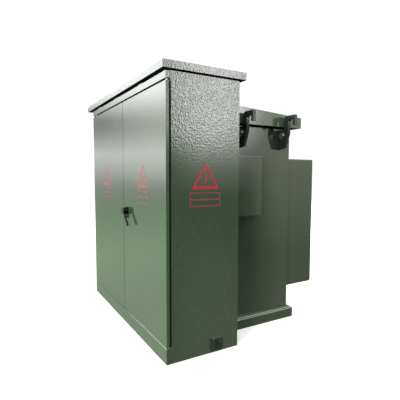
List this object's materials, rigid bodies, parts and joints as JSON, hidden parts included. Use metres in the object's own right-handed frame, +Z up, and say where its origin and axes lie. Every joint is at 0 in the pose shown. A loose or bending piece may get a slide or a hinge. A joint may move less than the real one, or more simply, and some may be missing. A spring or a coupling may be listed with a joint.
{
  "type": "pad-mounted transformer",
  "caption": "Pad-mounted distribution transformer: two-door cable cabinet with flat roof in front of an oil tank with sloping cover, lifting lugs and rear cooling fins",
  "frame": {"origin": "middle of the footprint box on the ground", "axes": "front (doors) faces -Y, up is +Z, +X is to the right when facing the doors"},
  "size_m": [1.746, 1.54, 1.8],
  "materials": {
    "paint_green": "glossy orange-peel enamel",
    "paint_roof": "dark glossy enamel",
    "paint_lug": "dark green enamel",
    "paint_red": "flat red stencil paint",
    "paint_red_worn": "faded red stencil paint",
    "black_paint": "satin black",
    "zinc_steel": "zinc plated",
    "dark_steel": "plain steel",
    "bronze": "machined",
    "copper": "tinned edge, satin",
    "rubber_black": "matt",
    "epoxy_brown": "glazed",
    "epdm_grey": "moulded",
    "cap_red": "moulded",
    "grey_paint": "satin",
    "yellow_handle": "moulded",
    "red_wheel": "satin",
    "board": "insulating board",
    "plate_alu": "brushed",
    "core_steel": "stacked sheet"
  },
  "bodies": {
    "enclosure": {"cabinet_walls": "paint_green", "cabinet_back": "paint_green", "cabinet_sill": "paint_green", "door_header": "paint_green", "roof": "paint_roof", "roof_rails": "dark_steel", "roof_screws": "zinc_steel", "hinge_pins": "zinc_steel", "barrier": "board", "sign_side": "paint_red", "earth_bracket": "paint_green", "tank_shell": "paint_green", "tank_skid": "paint_green", "tank_cover": "paint_green", "cover_gasket": "rubber_black", "tank_bolts": "zinc_steel", "lifting_lugs": "paint_lug", "side_box": "paint_green", "cooling_fins": "paint_green", "hv_wells": "epoxy_brown", "hv_inserts": "epdm_grey", "hv_caps": "cap_red", "fuse_housings": "grey_paint", "shaft_bosses": "grey_paint", "lv_bushings": "epoxy_brown", "lv_terminals": "copper", "neutral_strap": "copper", "gauges": "grey_paint", "tank_fittings": "zinc_steel", "drain_valve": "bronze", "rating_plate": "plate_alu", "core": "core_steel", "windings": "copper", "leads": "copper"},
    "right_door": {"right_door": "paint_green", "right_stiffeners": "paint_green", "right_gasket": "rubber_black", "door_bushings_right": "bronze", "handle_boss": "black_paint", "rod_guides": "dark_steel", "sign_right": "paint_red_worn"},
    "left_door": {"left_door": "paint_green", "left_stiffeners": "paint_green", "left_gasket": "rubber_black", "door_bushings_left": "bronze", "sign_left": "paint_red_worn"},
    "handle": {"handle_lever": "black_paint", "latch_spindle": "zinc_steel"},
    "upper_rod": {"upper_rod": "zinc_steel"},
    "lower_rod": {"lower_rod": "zinc_steel"},
    "fuse_a": {"fuse_holder_a": "epdm_grey"},
    "fuse_b": {"fuse_holder_b": "epdm_grey"},
    "fuse_c": {"fuse_holder_c": "epdm_grey"},
    "switch": {"switch_handle": "yellow_handle"},
    "tap": {"tap_handle": "black_paint"},
    "level_needle": {"level_pointer": "cap_red"},
    "temperature_needle": {"temperature_pointer": "cap_red"},
    "pressure_needle": {"pressure_pointer": "cap_red"},
    "relief": {"relief_ring": "bronze"},
    "valve": {"valve_wheel": "red_wheel"}
  },
  "joints": [
    {"name": "right_door_swing", "type": "hinge", "parent": "enclosure", "child": "right_door", "pos_m": [0.811, -0.717, 0.9], "axis": [0, 0, 1], "range_deg": [0, 110]},
    {"name": "left_door_swing", "type": "hinge", "parent": "enclosure", "child": "left_door", "pos_m": [-0.811, -0.717, 0.9], "axis": [0, 0, -1], "range_deg": [0, 110]},
    {"name": "handle_turn", "type": "hinge", "parent": "right_door", "child": "handle", "pos_m": [0.138, -0.73, 0.885], "axis": [0, -1, 0], "range_deg": [0, 90]},
    {"name": "upper_rod_slide", "type": "slide", "parent": "right_door", "child": "upper_rod", "axis": [0, 0, 1], "range_m": [0, 0.02514]},
    {"name": "lower_rod_slide", "type": "slide", "parent": "right_door", "child": "lower_rod", "axis": [0, 0, -1], "range_m": [0, 0.02514]},
    {"name": "fuse_a_pull", "type": "slide", "parent": "enclosure", "child": "fuse_a", "axis": [0, -1, 0], "range_m": [0, 0.25]},
    {"name": "fuse_b_pull", "type": "slide", "parent": "enclosure", "child": "fuse_b", "axis": [0, -1, 0], "range_m": [0, 0.25]},
    {"name": "fuse_c_pull", "type": "slide", "parent": "enclosure", "child": "fuse_c", "axis": [0, -1, 0], "range_m": [0, 0.25]},
    {"name": "switch_turn", "type": "hinge", "parent": "enclosure", "child": "switch", "pos_m": [-0.1, -0.205, 1.29], "axis": [0, 1, 0], "range_deg": [0, 90]},
    {"name": "tap_turn", "type": "hinge", "parent": "enclosure", "child": "tap", "pos_m": [-0.1, -0.205, 1.08], "axis": [0, 1, 0], "range_deg": [0, 144]},
    {"name": "level_needle_turn", "type": "hinge", "parent": "enclosure", "child": "level_needle", "pos_m": [0.19, -0.235, 1.34], "axis": [0, 1, 0], "range_deg": [-20, 60]},
    {"name": "temperature_needle_turn", "type": "hinge", "parent": "enclosure", "child": "temperature_needle", "pos_m": [0.33, -0.235, 1.34], "axis": [0, 1, 0], "range_deg": [0, 200]},
    {"name": "pressure_needle_turn", "type": "hinge", "parent": "enclosure", "child": "pressure_needle", "pos_m": [0.47, -0.235, 1.34], "axis": [0, 1, 0], "range_deg": [-60, 60]},
    {"name": "relief_pull", "type": "slide", "parent": "enclosure", "child": "relief", "axis": [0, -1, 0], "range_m": [0, 0.008], "stiffness_N_per_m": 600},
    {"name": "valve_turn", "type": "hinge", "parent": "enclosure", "child": "valve", "pos_m": [0.52, -0.255, 0.19], "axis": [0, 0, 1], "continuous": true}
  ],
  "couplings": [
    {"joint": "upper_rod_slide", "follows": "handle_turn", "m_per_rad": 0.016},
    {"joint": "lower_rod_slide", "follows": "handle_turn", "m_per_rad": 0.016}
  ]
}
